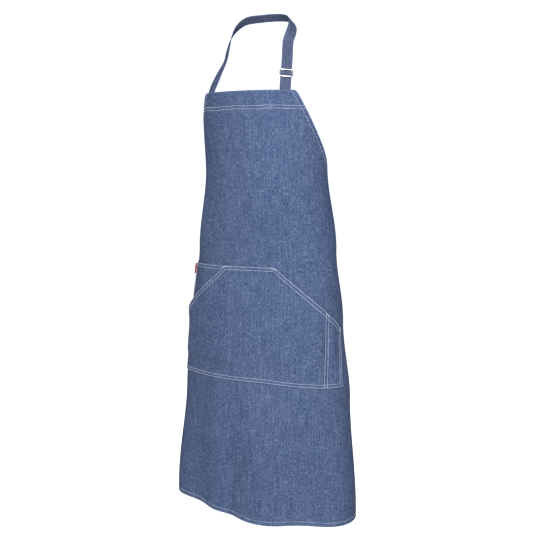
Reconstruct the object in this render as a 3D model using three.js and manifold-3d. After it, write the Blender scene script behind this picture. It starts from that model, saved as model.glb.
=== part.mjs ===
// Denim bib apron for welding, worn on a slim body form, in millimetres.
// +Z is up, the front of the apron faces -Y and the wearer's left is +X.
// The origin is the middle of the neck strap's inner face at the nape.
//
// Cloth positions are given on the flat pattern: `across` is the distance from
// the centre line round the body (wearer's left positive), `drop` is the distance
// below the bib's top edge, and `lift` is the distance out from the cloth's face.

import * as THREE from 'three';
import { mergeVertices } from 'three/addons/utils/BufferGeometryUtils.js';
import Module from 'manifold-3d';

const { lerp, smoothstep, degToRad } = THREE.MathUtils;

// ---- Driving dimensions ----------------------------------------------------

const APRON_LENGTH = 914;
const APRON_HALF_WIDTH = 355;
const BIB_TOP_HALF_WIDTH = 115;
const ARMHOLE_DROP = 280;
const WAIST_DROP = 300;

const CLOTH = 1.2;
const LAYER_GAP = 0.9;
const TURN_GAP = 1.2;

const BIB_TOP_BELOW_NAPE = 167;
const FORM_AXIS_AHEAD_OF_NAPE = 46;

// The body form is an ellipse at every height: its half-width and half-depth.
const FORM = [
  { drop: 0, halfWidth: 145, halfDepth: 105 },
  { drop: 160, halfWidth: 137, halfDepth: 101 },
  { drop: 330, halfWidth: 161, halfDepth: 92 },
  { drop: 480, halfWidth: 178, halfDepth: 102 },
  { drop: 640, halfWidth: 194, halfDepth: 108 },
  { drop: 914, halfWidth: 213, halfDepth: 117 },
];

// The skirt sits slightly turned on the form, towards the wearer's left.
const TURN = { from: 305, to: 420, across: 9 };

// The bib leans to the wearer's right at its top.
const LEAN = { top: 3.5, to: 260 };

// The skirt also hangs a little uneven: its left side sags at the pocket, and its right side's
// hem is hitched up.
const SAG = { depth: 10, across: 200, from: 400, to: 600, release: 1.5 };
const HITCH = { rise: 21, acrossFrom: -60, acrossTo: 200, from: 620, to: APRON_LENGTH };

const STRAP_WIDTH = 23;
const STRAP_THICK = 1.6;
const STRAP_SEAT = 92;
const STRAP_SEWN_LENGTH = 28;
const STRAP_GAP = 1.3;
const STRAP_LIFT = -(CLOTH + STRAP_GAP + STRAP_THICK / 2);
const RETURN_SPACING = 5.2;

const FACING_DEPTH = 40;
const HEM_WIDTH = 11;
const FOLD_GAP = 1.4;
const HEM_LIFT = -(CLOTH + FOLD_GAP + CLOTH / 2);

const POCKET_TOP_DROP = 364;
const POCKET_BOTTOM_DROP = 608;
const POCKET_TOP_HALF_WIDTH = 57;
const POCKET_HALF_WIDTH = 213;
const POCKET_SLANT_DROP = 130;
const POCKET_FULLNESS = 8;
const POCKET_EASE = { side: 48, top: 32, bottom: 64 };

const PATCH_INNER_EDGE = -42;
const PATCH_OUTER_EDGE = -186;
const PATCH_TOP_DROP = 365;
const PATCH_BOTTOM_DROP = 560;
const PATCH_FULLNESS = 8;
const PATCH_EASE = { side: 40, bottom: 64 };

const TAB_WIDTH = 8;
const TAB_HEIGHT = 22;

const BUCKLE_WIDTH = 28;
const BUCKLE_HEIGHT = 17.5;
const BUCKLE_WIRE = 2;
const BUCKLE_UP_STRAP = 38;

const TIE_DROP = 285;
const KNOT_SIZE = { x: 26, y: 20, z: 24 };
const BOW_LOOP_LENGTH = 78;
const BOW_LOOP_OPENING = 17;
const BOW_DROOP = degToRad(8);
const TAIL_LENGTH = 330;

// ---- The draped cloth --------------------------------------------------------

function formAt(drop) {
  const last = FORM.length - 2;
  let index = 0;
  while (index < last && drop > FORM[index + 1].drop) index += 1;
  const upper = FORM[index];
  const lower = FORM[index + 1];
  const share = smoothstep(drop, upper.drop, lower.drop);
  return {
    halfWidth: lerp(upper.halfWidth, lower.halfWidth, share),
    halfDepth: lerp(upper.halfDepth, lower.halfDepth, share),
  };
}

// Half of the pattern's width: the armhole edge leaves the bib's corner on a slant and
// sweeps out to the side seam, and below that the side is straight.
const ARMHOLE_SLANT = 0.67;
const ARMHOLE_SWEEP = 4;

function patternHalfWidth(drop) {
  const down = Math.min(drop / ARMHOLE_DROP, 1);
  const share = ARMHOLE_SLANT * down + (1 - ARMHOLE_SLANT) * down ** ARMHOLE_SWEEP;
  return lerp(BIB_TOP_HALF_WIDTH, APRON_HALF_WIDTH, share);
}

// Half of the form's ellipse, from the front round the wearer's left to the back.
const halfRings = new Map();

function halfRing(drop) {
  if (!halfRings.has(drop)) {
    const { halfWidth, halfDepth } = formAt(drop);
    halfRings.set(drop, new THREE.EllipseCurve(
      0, 0, halfWidth, halfDepth, -Math.PI / 2, Math.PI / 2,
    ));
  }
  return halfRings.get(drop);
}

// How far the skirt's cloth is shifted up or down from an even hang.
function hangShift(across, drop) {
  const low = smoothstep(drop, HITCH.from, HITCH.to);
  const sag = smoothstep(across, 0, SAG.across) * smoothstep(drop, SAG.from, SAG.to)
    * (1 - SAG.release * low);
  const hitch = smoothstep(-across, HITCH.acrossFrom, HITCH.acrossTo) * low;
  return HITCH.rise * hitch - SAG.depth * sag;
}

function clothFrame(across, drop) {
  const ring = halfRing(drop);
  const turned = across + TURN.across * smoothstep(drop, TURN.from, TURN.to);
  const share = Math.abs(turned) / ring.getLength();
  const side = Math.sign(turned) || 1;
  const point = ring.getPointAt(share);
  const along = ring.getTangentAt(share);
  return {
    point: new THREE.Vector3(
      side * point.x - LEAN.top * (1 - smoothstep(drop, 0, LEAN.to)),
      point.y - FORM_AXIS_AHEAD_OF_NAPE,
      hangShift(across, drop) - BIB_TOP_BELOW_NAPE - drop,
    ),
    outward: new THREE.Vector3(side * along.y, -along.x, 0),
  };
}

function onCloth(across, drop, lift) {
  const { point, outward } = clothFrame(across, drop);
  return point.addScaledVector(outward, lift);
}

// ---- Shape helpers -------------------------------------------------------------

const EXACT = 1e6;

// Bends a unit box: place(along, up, out) takes shares from 0 to 1 and gives a point.
function bentBox(stepsAlong, stepsUp, place) {
  const geometry = new THREE.BoxGeometry(1, 1, 1, stepsAlong, stepsUp, 1);
  const positions = geometry.attributes.position;
  for (let index = 0; index < positions.count; index += 1) {
    const [along, up, out] = [positions.getX(index), positions.getY(index), positions.getZ(index)]
      .map((value) => Math.round((value + 0.5) * EXACT) / EXACT);
    const point = place(along, up, out);
    positions.setXYZ(index, point.x, point.y, point.z);
  }
  geometry.computeVertexNormals();
  return geometry;
}

// Even steps from one value to another; crowding above 1 packs them towards the end.
function stepsBetween(from, to, count, crowding = 1) {
  return Array.from({ length: count + 1 }, (_, index) => (
    lerp(from, to, 1 - (1 - index / count) ** crowding)
  ));
}

// A layer of cloth: `drops` lists its rows from top to bottom, `columns` gives the
// places across one row, and `lift` the height of the layer's middle off the cloth.
function clothLayer({ drops, columns, lift, thick = CLOTH }) {
  const stepsUp = drops.length - 1;
  const stepsAlong = columns(drops[0]).length - 1;
  return bentBox(stepsAlong, stepsUp, (along, up, out) => {
    const drop = drops[Math.round((1 - up) * stepsUp)];
    const across = columns(drop)[Math.round(along * stepsAlong)];
    return onCloth(across, drop, lift(across, drop) + (out - 0.5) * thick);
  });
}

// A flat ribbon that follows stations of a centre point and an outward direction.
function ribbon(stations, steps, width = STRAP_WIDTH, thick = STRAP_THICK) {
  const path = new THREE.CatmullRomCurve3(stations.map(({ at }) => at), false, 'centripetal');
  const turns = new THREE.CatmullRomCurve3(stations.map(({ facing }) => facing), false, 'centripetal');
  return bentBox(steps, 1, (along, up, out) => {
    const direction = path.getTangent(along);
    const facing = turns.getPoint(along);
    facing.addScaledVector(direction, -facing.dot(direction)).normalize();
    const sideways = new THREE.Vector3().crossVectors(facing, direction);
    return path.getPoint(along)
      .addScaledVector(sideways, (up - 0.5) * width)
      .addScaledVector(facing, (out - 0.5) * thick);
  });
}

function station(x, y, z, facingX, facingY, facingZ) {
  return {
    at: new THREE.Vector3(x, y, z),
    facing: new THREE.Vector3(facingX, facingY, facingZ),
  };
}

const apron = new THREE.Group();

const DENIM = { color: 0x4a5c86, roughness: 0.92, metalness: 0 };
const WEBBING = { color: 0x515f88, roughness: 0.9, metalness: 0 };
const NICKEL = { color: 0xd6d8dc, roughness: 0.22, metalness: 1 };
const TAB_CLOTH = { color: 0xc9485a, roughness: 0.8, metalness: 0 };

function addPiece(name, geometry, look) {
  const piece = new THREE.Mesh(geometry, new THREE.MeshStandardMaterial(look));
  piece.name = name;
  apron.add(piece);
  return piece;
}

// ---- Bib and skirt panels --------------------------------------------------------

const CREASE_GAP = 0.5;
const HEM_TOP = APRON_LENGTH - HEM_WIDTH;
const BIB_COLUMNS = 30;
const SKIRT_COLUMNS = 44;
const TOP_ROWS = 4;
const BIB_ROWS = 22;
const SKIRT_ROWS = 8;
// The bib's rows crowd towards the armhole's sweep, where the edge curves most.
const ROW_CROWDING = 1.8;
const ARMHOLE_DROPS = stepsBetween(FACING_DEPTH, ARMHOLE_DROP, BIB_ROWS, ROW_CROWDING);
const BIB_END = WAIST_DROP - CREASE_GAP;
const BIB_DROPS = [
  ...stepsBetween(0, FACING_DEPTH, TOP_ROWS).slice(0, -1), ...ARMHOLE_DROPS, BIB_END,
];
const SKIRT_DROPS = [...stepsBetween(WAIST_DROP + CREASE_GAP, HEM_TOP, SKIRT_ROWS), APRON_LENGTH];

// The outermost column of a panel at each side is as wide as the hem folded behind it.
function panelColumns(drop, count) {
  const edge = patternHalfWidth(drop);
  return [-edge, ...stepsBetween(HEM_WIDTH - edge, edge - HEM_WIDTH, count), edge];
}

const bibColumns = (drop) => panelColumns(drop, BIB_COLUMNS);
const skirtColumns = (drop) => panelColumns(drop, SKIRT_COLUMNS);

function sideColumns(side) {
  return (drop) => {
    const edge = patternHalfWidth(drop);
    return side > 0 ? [edge - HEM_WIDTH, edge] : [-edge, HEM_WIDTH - edge];
  };
}

const panelLift = () => -CLOTH / 2;
const hemLift = () => HEM_LIFT;

function addPanels() {
  addPiece('bib_panel', clothLayer({
    drops: BIB_DROPS, columns: bibColumns, lift: panelLift,
  }), DENIM);
  addPiece('skirt_panel', clothLayer({
    drops: SKIRT_DROPS, columns: skirtColumns, lift: panelLift,
  }), DENIM);
}

// ---- Folded edges, all behind the panel, on the panel's own rows and columns ----------

function addEdgeFolds() {
  const armholeDrops = [FACING_DEPTH + TURN_GAP, ...ARMHOLE_DROPS.slice(1), BIB_END];
  const sideDrops = [...SKIRT_DROPS.slice(0, -2), HEM_TOP - TURN_GAP];
  for (const [word, side] of [['left', 1], ['right', -1]]) {
    addPiece(`armhole_hem_${word}`, clothLayer({
      drops: armholeDrops, columns: sideColumns(side), lift: hemLift,
    }), DENIM);
    addPiece(`side_hem_${word}`, clothLayer({
      drops: sideDrops, columns: sideColumns(side), lift: hemLift,
    }), DENIM);
  }
  addPiece('bottom_hem', clothLayer({
    drops: SKIRT_DROPS.slice(-2), columns: skirtColumns, lift: hemLift,
  }), DENIM);
}

// The top facing stands further back where it covers a sewn-in strap end.
const FACING_TOP = 4;
const SHOULDER_LENGTH = 16;
const SHOULDER_GAP = 3;

function facingLift(across) {
  const reach = STRAP_WIDTH / 2 + SHOULDER_GAP;
  const nearness = 1 - smoothstep(
    Math.abs(Math.abs(across) - STRAP_SEAT), reach, reach + SHOULDER_LENGTH,
  );
  const layers = across > 0 ? RETURN_SPACING + STRAP_THICK : STRAP_THICK;
  return HEM_LIFT - nearness * (layers + LAYER_GAP);
}

function addTopFacing() {
  addPiece('top_facing', clothLayer({
    drops: [FACING_TOP, FACING_DEPTH], columns: bibColumns, lift: facingLift,
  }), DENIM);
}

// ---- Neck strap, its sewn-in ends and the slide buckle ------------------------------

function strapSeat(side) {
  return {
    at: onCloth(side * STRAP_SEAT, 0, STRAP_LIFT),
    facing: clothFrame(side * STRAP_SEAT, 0).outward,
  };
}

// The adjustable leg is straight, so that the buckle can slide along it.
const LEFT_SEAT = strapSeat(1);
const LEG_TOP = new THREE.Vector3(69.5, -83, -62.5);
const LEG_DIRECTION = LEG_TOP.clone().sub(LEFT_SEAT.at).normalize();
const LEG_LENGTH = LEG_TOP.distanceTo(LEFT_SEAT.at);
const LEG_FACING = LEFT_SEAT.facing.clone()
  .addScaledVector(LEG_DIRECTION, -LEFT_SEAT.facing.dot(LEG_DIRECTION))
  .normalize();
const LEG_SIDEWAYS = new THREE.Vector3().crossVectors(LEG_FACING, LEG_DIRECTION);

// A point beside the straight leg: up it from the bib, across it and out from it.
function besideLeg(up, sideways, outward) {
  return LEFT_SEAT.at.clone()
    .addScaledVector(LEG_DIRECTION, up)
    .addScaledVector(LEG_SIDEWAYS, sideways)
    .addScaledVector(LEG_FACING, outward);
}

function legStation(up) {
  return { at: besideLeg(up, 0, 0), facing: LEG_FACING };
}

// The strap's loop stops short of the bib's edge, and its sewn-in ends start below it.
const STRAP_RISE = 2;
const SEWN_TOP = 4;
const LOOP_STEPS = 76;
const TAIL_STEPS = 24;
const HALF_THICK = STRAP_THICK / 2;
const NAPE_TILT = { y: 0.6, z: 0.8 };

function addNeckStrap() {
  const nape = station(
    0, NAPE_TILT.y * HALF_THICK, NAPE_TILT.z * HALF_THICK, 0, NAPE_TILT.y, NAPE_TILT.z,
  );
  const rightSeat = strapSeat(-1);
  rightSeat.at.z += STRAP_RISE;
  addPiece('neck_strap', ribbon([
    legStation(STRAP_RISE),
    legStation(LEG_LENGTH * 0.35),
    legStation(LEG_LENGTH * 0.7),
    legStation(LEG_LENGTH),
    station(70, -71, -50, 0.55, -0.78, 0.25),
    station(67, -58, -31, 0.8, -0.34, 0.46),
    station(55, -37, -15, 0.72, 0.2, 0.64),
    station(30, -10, -4, 0.38, 0.53, 0.76),
    nape,
    station(-30, -9, -1, -0.35, 0.5, 0.79),
    station(-54, -38, -9, -0.75, 0.15, 0.64),
    station(-66, -60, -27, -0.9, -0.3, 0.3),
    station(-71, -74, -48, -0.8, -0.6, 0.1),
    station(-71, -88, -74, -0.62, -0.78, 0),
    station(-70, -101, -98, -0.6, -0.8, 0),
    station(-78, -118, -131, -0.5, -0.86, 0),
    { at: rightSeat.at, facing: rightSeat.facing },
  ], LOOP_STEPS), WEBBING);
}

function sewnStation(side, drop, behind) {
  return {
    at: onCloth(side * STRAP_SEAT, drop, STRAP_LIFT - behind),
    facing: clothFrame(side * STRAP_SEAT, drop).outward,
  };
}

const STRAIGHT_STEPS = 2;
const KEEPER_FROM_END = 4;
const KEEPER_LENGTH = 8;
const KEEPER_EXTRA_WIDTH = 3;

function addStrapEnds() {
  addPiece('strap_end_right', ribbon([
    sewnStation(-1, STRAP_SEWN_LENGTH, 0),
    sewnStation(-1, SEWN_TOP, 0),
  ], STRAIGHT_STEPS), WEBBING);
  addPiece('strap_end_left', ribbon([
    sewnStation(1, STRAP_SEWN_LENGTH, 0),
    sewnStation(1, SEWN_TOP, 0),
  ], STRAIGHT_STEPS), WEBBING);
  addPiece('strap_turn_left', ribbon([
    sewnStation(1, STRAP_SEWN_LENGTH, RETURN_SPACING),
    sewnStation(1, SEWN_TOP, RETURN_SPACING),
  ], STRAIGHT_STEPS), WEBBING);
  addPiece('strap_keeper', ribbon([
    sewnStation(1, STRAP_SEWN_LENGTH - KEEPER_FROM_END, RETURN_SPACING / 2),
    sewnStation(1, STRAP_SEWN_LENGTH - KEEPER_FROM_END - KEEPER_LENGTH, RETURN_SPACING / 2),
  ], 1, STRAP_WIDTH + KEEPER_EXTRA_WIDTH, STRAP_THICK), WEBBING);
}

// The strap's return runs up behind the leg and is sewn round the buckle's middle bar.
function addStrapReturn() {
  const stationAt = (up) => ({ at: besideLeg(up, 0, -RETURN_SPACING), facing: LEG_FACING });
  const top = BUCKLE_UP_STRAP - BUCKLE_WIRE / 2 - LAYER_GAP;
  addPiece('strap_return', ribbon([stationAt(SEWN_TOP), stationAt(top)], STRAIGHT_STEPS), WEBBING);
}

// The slide buckle is one casting: a flat frame in front of the strap, and a middle
// bar behind it that two cheeks carry. It is drawn with +Y up the leg, +Z outward.
const wasm = await Module();
wasm.setup();

function toSolid(geometry) {
  const bare = geometry.clone();
  bare.deleteAttribute('normal');
  bare.deleteAttribute('uv');
  const merged = mergeVertices(bare.index ? bare.toNonIndexed() : bare, 1e-4);
  return new wasm.Manifold(new wasm.Mesh({
    numProp: 3,
    vertProperties: new Float32Array(merged.attributes.position.array),
    triVerts: new Uint32Array(merged.index.array),
  }));
}

function toGeometry(solid) {
  const { vertProperties, triVerts } = solid.getMesh();
  const geometry = new THREE.BufferGeometry();
  geometry.setAttribute('position', new THREE.BufferAttribute(vertProperties, 3));
  geometry.setIndex(new THREE.BufferAttribute(triVerts, 1));
  return geometry;
}

const FRAME_FRONT = 3.6;
const FRAME_BACK = 1.6;
const CORNER_RADIUS = 2.5;

function roundedRectangle(width, height, radius) {
  const [halfWidth, halfHeight] = [width / 2, height / 2];
  const shape = new THREE.Shape();
  shape.moveTo(radius - halfWidth, -halfHeight);
  shape.absarc(halfWidth - radius, radius - halfHeight, radius, -Math.PI / 2, 0);
  shape.absarc(halfWidth - radius, halfHeight - radius, radius, 0, Math.PI / 2);
  shape.absarc(radius - halfWidth, halfHeight - radius, radius, Math.PI / 2, Math.PI);
  shape.absarc(radius - halfWidth, radius - halfHeight, radius, Math.PI, 1.5 * Math.PI);
  return shape;
}

function buckleFrame() {
  const outline = roundedRectangle(BUCKLE_WIDTH, BUCKLE_HEIGHT, CORNER_RADIUS);
  outline.holes.push(roundedRectangle(
    BUCKLE_WIDTH - 2 * BUCKLE_WIRE, BUCKLE_HEIGHT - 2 * BUCKLE_WIRE, CORNER_RADIUS / 3,
  ));
  const frame = new THREE.ExtrudeGeometry(outline, {
    depth: FRAME_FRONT - FRAME_BACK, bevelEnabled: false, curveSegments: 4,
  });
  return toSolid(frame.translate(0, 0, FRAME_BACK));
}

function buckleCheek(side) {
  const depth = FRAME_FRONT + RETURN_SPACING;
  const cheek = new THREE.BoxGeometry(BUCKLE_WIRE, 2 * BUCKLE_WIRE, depth);
  cheek.translate(side * (BUCKLE_WIDTH - BUCKLE_WIRE) / 2, 0, FRAME_FRONT - depth / 2);
  return toSolid(cheek);
}

function buckleBar() {
  const length = BUCKLE_WIDTH - BUCKLE_WIRE;
  const bar = new THREE.CylinderGeometry(BUCKLE_WIRE / 2, BUCKLE_WIRE / 2, length, 12);
  bar.rotateZ(Math.PI / 2);
  bar.translate(0, 0, -RETURN_SPACING);
  return toSolid(bar);
}

function addSlideBuckle() {
  const solid = buckleFrame().add(buckleCheek(1)).add(buckleCheek(-1)).add(buckleBar());
  const piece = addPiece('slide_buckle', toGeometry(solid), NICKEL);
  const basis = new THREE.Matrix4().makeBasis(
    LEG_SIDEWAYS.clone().negate(), LEG_DIRECTION, LEG_FACING,
  );
  piece.quaternion.setFromRotationMatrix(basis);
  piece.position.copy(besideLeg(BUCKLE_UP_STRAP, 0, 0));
}

// ---- Pockets ---------------------------------------------------------------------

// The main pocket stands off the apron to let the patch pocket lie under it, and its
// fullness dies away at the sewn edges: the top, the bottom and both sides.
function pocketLift(across, drop) {
  const overPatch = 1 - smoothstep(across, PATCH_INNER_EDGE, PATCH_INNER_EDGE + SHOULDER_LENGTH);
  const fromSide = POCKET_HALF_WIDTH - Math.abs(across);
  const sideShare = smoothstep(fromSide, 0, POCKET_EASE.side);
  const endShare = smoothstep(POCKET_BOTTOM_DROP - drop, 0, POCKET_EASE.bottom);
  const topShare = smoothstep(drop - POCKET_TOP_DROP, 0, POCKET_EASE.top);
  const patchStand = overPatch * (CLOTH + LAYER_GAP + PATCH_FULLNESS * sideShare);
  return LAYER_GAP + CLOTH / 2 + patchStand + POCKET_FULLNESS * sideShare * endShare * topShare;
}

// The pocket's outline: a level top, two slanted mouths and straight sides below them.
function pocketTopAt(across) {
  const share = (Math.abs(across) - POCKET_TOP_HALF_WIDTH) / (POCKET_HALF_WIDTH - POCKET_TOP_HALF_WIDTH);
  return POCKET_TOP_DROP + POCKET_SLANT_DROP * Math.max(share, 0);
}

const POCKET_COLUMNS = 32;
const POCKET_ROWS = 12;

function addMainPocket() {
  addPiece('main_pocket', bentBox(POCKET_COLUMNS, POCKET_ROWS, (along, up, out) => {
    const across = lerp(-POCKET_HALF_WIDTH, POCKET_HALF_WIDTH, along);
    const drop = lerp(POCKET_BOTTOM_DROP, pocketTopAt(across), up);
    return onCloth(across, drop, pocketLift(across, drop) + (out - 0.5) * CLOTH);
  }), DENIM);
}

function patchLift(across, drop) {
  const fromEdge = Math.min(across - PATCH_OUTER_EDGE, PATCH_INNER_EDGE - across);
  const edgeShare = smoothstep(fromEdge, 0, PATCH_EASE.side);
  const endShare = smoothstep(PATCH_BOTTOM_DROP - drop, 0, PATCH_EASE.bottom);
  return LAYER_GAP + CLOTH / 2 + PATCH_FULLNESS * edgeShare * endShare;
}

const PATCH_COLUMNS = 14;
const PATCH_ROWS = 8;

function addPatchPocket() {
  const columns = stepsBetween(PATCH_OUTER_EDGE, PATCH_INNER_EDGE, PATCH_COLUMNS);
  addPiece('patch_pocket', clothLayer({
    drops: stepsBetween(PATCH_TOP_DROP, PATCH_BOTTOM_DROP, PATCH_ROWS),
    columns: () => columns,
    lift: patchLift,
  }), DENIM);
}

function addSideTab() {
  const outer = PATCH_OUTER_EDGE - LAYER_GAP;
  const top = PATCH_TOP_DROP + TAB_HEIGHT / 4;
  addPiece('side_tab', clothLayer({
    drops: [top, top + TAB_HEIGHT],
    columns: () => [outer - TAB_WIDTH, outer],
    lift: () => LAYER_GAP + CLOTH / 2,
  }), TAB_CLOTH);
}

// ---- Waist ties, knotted in a bow at the centre back --------------------------------

const BACK_CENTRE = halfRing(TIE_DROP).getLength();
const TIE_LIFT = 3;
const KNOT = onCloth(BACK_CENTRE, TIE_DROP, TIE_LIFT + KNOT_SIZE.y / 4);
const LOOP_LIFT = TIE_LIFT + KNOT_SIZE.y / 5 + BOW_LOOP_OPENING / 2;

function addTieBand(word, side) {
  const start = APRON_HALF_WIDTH + LAYER_GAP;
  const end = BACK_CENTRE - KNOT_SIZE.x / 2 - LAYER_GAP;
  const columns = side > 0 ? stepsBetween(start, end, 5) : stepsBetween(-end, -start, 5);
  addPiece(`waist_tie_${word}`, clothLayer({
    drops: [TIE_DROP - STRAP_WIDTH / 2, TIE_DROP + STRAP_WIDTH / 2],
    columns: () => columns,
    lift: (across) => TIE_LIFT * smoothstep(Math.abs(across), start, end),
    thick: STRAP_THICK,
  }), WEBBING);
}

function addKnot() {
  const knot = new THREE.SphereGeometry(0.5, 16, 10);
  knot.scale(KNOT_SIZE.x, KNOT_SIZE.y, KNOT_SIZE.z);
  addPiece('bow_knot', knot, WEBBING).position.copy(KNOT);
}

// A bow loop is a flattened ring of the tie, drawn in plan and as wide as the tie.
function loopOutline(length, opening) {
  const outline = new THREE.Shape();
  const radius = opening / 2;
  outline.moveTo(0, -radius / 2);
  outline.lineTo(length - radius, -radius);
  outline.absarc(length - radius, 0, radius, -Math.PI / 2, Math.PI / 2);
  outline.lineTo(0, radius / 2);
  return outline;
}

function addBowLoop(word, side) {
  const outline = loopOutline(BOW_LOOP_LENGTH, BOW_LOOP_OPENING);
  const inside = loopOutline(BOW_LOOP_LENGTH - 2 * STRAP_THICK, BOW_LOOP_OPENING - 2 * STRAP_THICK);
  outline.holes.push(new THREE.Path(
    inside.getPoints(6).map((point) => point.add(new THREE.Vector2(STRAP_THICK, 0))),
  ));
  const loop = new THREE.ExtrudeGeometry(outline, {
    depth: STRAP_WIDTH, bevelEnabled: false, curveSegments: 6,
  });
  loop.translate(KNOT_SIZE.x / 2 + LAYER_GAP, 0, -STRAP_WIDTH / 2);
  const piece = addPiece(`bow_loop_${word}`, loop, WEBBING);
  const lean = side > 0 ? BOW_DROOP : Math.PI - BOW_DROOP;
  piece.rotation.set(0, lean, 0);
  piece.position.copy(onCloth(BACK_CENTRE, TIE_DROP, LOOP_LIFT));
}

// The tail's line from its end up to the knot: its share of the length below the knot, its place
// outward and behind, and how far its face turns.
const TAIL_LINE = [
  { below: 1, outward: 13, behind: 0, turn: 0.2 },
  { below: 0.7, outward: 19, behind: 2, turn: 0.1 },
  { below: 0.35, outward: 15, behind: -2, turn: 0.2 },
  { below: 0, outward: 13, behind: 0, turn: 0 },
];

function addTieTail(word, side) {
  const { x, y, z } = onCloth(BACK_CENTRE, TIE_DROP, TIE_LIFT - STRAP_THICK / 2);
  const top = z - KNOT_SIZE.z / 2 - LAYER_GAP;
  const stations = TAIL_LINE.map(({ below, outward, behind, turn }) => (
    station(x + side * outward, y + behind, top - TAIL_LENGTH * below, side * turn, 1, 0)
  ));
  addPiece(`tie_tail_${word}`, ribbon(stations, TAIL_STEPS), WEBBING);
}

function addWaistTies() {
  addKnot();
  for (const [word, side] of [['left', 1], ['right', -1]]) {
    addTieBand(word, side);
    addBowLoop(word, side);
    addTieTail(word, side);
  }
}

addPanels();
addEdgeFolds();
addTopFacing();
addNeckStrap();
addStrapEnds();
addStrapReturn();
addSlideBuckle();
addMainPocket();
addPatchPocket();
addSideTab();
addWaistTies();

export default apron;
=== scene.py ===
"""Denim bib apron for welding: the looks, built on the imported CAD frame.

Metres, +Z up, the apron's front faces -Y and the wearer's left is +X. Cloth is cut
on a flat pattern: `across` runs from the centre line round the body, `drop` runs down
from the bib's top edge, and `lift` is the height off the cloth's outer face. Every
layer, seam and stitch is placed on the drape by those three numbers.
"""
import math

import bpy
import numpy as np
from mathutils import Matrix, Vector


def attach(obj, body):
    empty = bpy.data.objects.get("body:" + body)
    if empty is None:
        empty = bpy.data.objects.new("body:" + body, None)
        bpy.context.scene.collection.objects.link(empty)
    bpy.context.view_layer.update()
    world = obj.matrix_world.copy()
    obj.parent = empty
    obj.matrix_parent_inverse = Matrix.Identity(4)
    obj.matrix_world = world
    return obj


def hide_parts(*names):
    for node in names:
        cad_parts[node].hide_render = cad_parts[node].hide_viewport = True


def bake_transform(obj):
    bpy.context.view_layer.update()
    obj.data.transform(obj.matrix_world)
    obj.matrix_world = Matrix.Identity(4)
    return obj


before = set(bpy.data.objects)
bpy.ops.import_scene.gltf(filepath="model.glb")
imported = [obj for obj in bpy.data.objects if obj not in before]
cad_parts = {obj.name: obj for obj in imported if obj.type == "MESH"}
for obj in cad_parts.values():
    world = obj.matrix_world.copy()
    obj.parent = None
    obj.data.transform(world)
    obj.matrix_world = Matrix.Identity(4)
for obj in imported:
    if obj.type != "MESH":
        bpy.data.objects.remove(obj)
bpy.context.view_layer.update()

# ---- Driving dimensions, in metres ---------------------------------------------

APRON_LENGTH = 0.914
APRON_HALF_WIDTH = 0.355
BIB_TOP_HALF_WIDTH = 0.115
ARMHOLE_DROP = 0.280
ARMHOLE_SLANT = 0.67
ARMHOLE_SWEEP = 4

BIB_TOP_BELOW_NAPE = 0.167
FORM_AXIS_AHEAD_OF_NAPE = 0.046
FORM_DROPS = (0.0, 0.160, 0.330, 0.480, 0.640, 0.914)
FORM_HALF_WIDTHS = (0.145, 0.137, 0.161, 0.178, 0.194, 0.213)
FORM_HALF_DEPTHS = (0.105, 0.101, 0.092, 0.102, 0.108, 0.117)
TURN_FROM, TURN_TO, TURN_ACROSS = 0.305, 0.420, 0.009
LEAN_TOP, LEAN_TO = 0.0035, 0.260
SAG_DEPTH, SAG_ACROSS, SAG_FROM, SAG_TO, SAG_RELEASE = 0.010, 0.200, 0.400, 0.600, 1.5
HITCH_RISE, HITCH_ACROSS_FROM, HITCH_ACROSS_TO, HITCH_FROM = 0.021, -0.060, 0.200, 0.620

# Folds as (height, width, phase, slant), and the drops between which they open.
SKIRT_FOLDS = ((0.0065, 0.235, 0.9, 1.2), (0.0034, 0.131, -0.6, -0.8))
BIB_EASE = ((0.0012, 0.170, 0.0, 5.0), (0.0008, 0.090, 1.0, -9.0))
FOLDS_OPEN = (0.56, 0.90)
EASE_FROM = (0.03, 0.12)
HOLLOW_DEPTH, HOLLOW_ACROSS, HOLLOW_REACH = 0.0165, -0.036, 0.034
HOLLOW_SLANT, HOLLOW_DROP = 0.05, 0.7

CLOTH = 0.0009
HEM_WIDTH = 0.011
FACING_DEPTH = 0.040
CORNER_RADIUS = 0.007
HEM_STEP = 0.0006
HEM_SLACK = HEM_STEP / 4
RIM_SHARE = 0.45
RIM_THICK_LIMIT = 0.0022

STRAP_WIDTH = 0.023
STRAP_THICK = 0.0018
STRAP_SEAT = 0.092
STRAP_SEWN_LENGTH = 0.028
STRAP_LIFT = -0.0033
RETURN_SPACING = 0.0052

POCKET_TOP_DROP = 0.364
POCKET_BOTTOM_DROP = 0.608
POCKET_TOP_HALF_WIDTH = 0.057
POCKET_HALF_WIDTH = 0.213
POCKET_SLANT_DROP = 0.130
POCKET_FULLNESS = 0.0050
DIVIDER_ACROSS = 0.166
PATCH_INNER_EDGE = -0.042
PATCH_OUTER_EDGE = -0.186
PATCH_TOP_DROP = 0.365
PATCH_BOTTOM_DROP = 0.560

BUCKLE_WIDTH = 0.028
BUCKLE_HEIGHT = 0.0175
BUCKLE_WIRE = 0.0022
BUCKLE_UP_STRAP = 0.038

TIE_DROP = 0.285
TAIL_LENGTH = 0.330

STITCH_PITCH = 0.0040
STITCH_SHARE = 0.80
THREAD_RADIUS = 0.00048
FINE_THREAD_RADIUS = 0.00038
ROW_SPACING = 0.0062
EDGE_ROW = 0.0085
TOP_ROW = 0.0306
POCKET_ROW = 0.0020
# How far from a row or an edge the cloth is pulled in or rubbed, and how much a row is.
ROW_REACH, TOP_ROW_REACH, EDGE_REACH = 0.0018, 0.0020, 0.0022
POCKET_ROW_REACH, POCKET_EDGE_REACH = 0.0016, 0.0020
ROW_WEAR = 0.45


# ---- The drape -------------------------------------------------------------------

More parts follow.
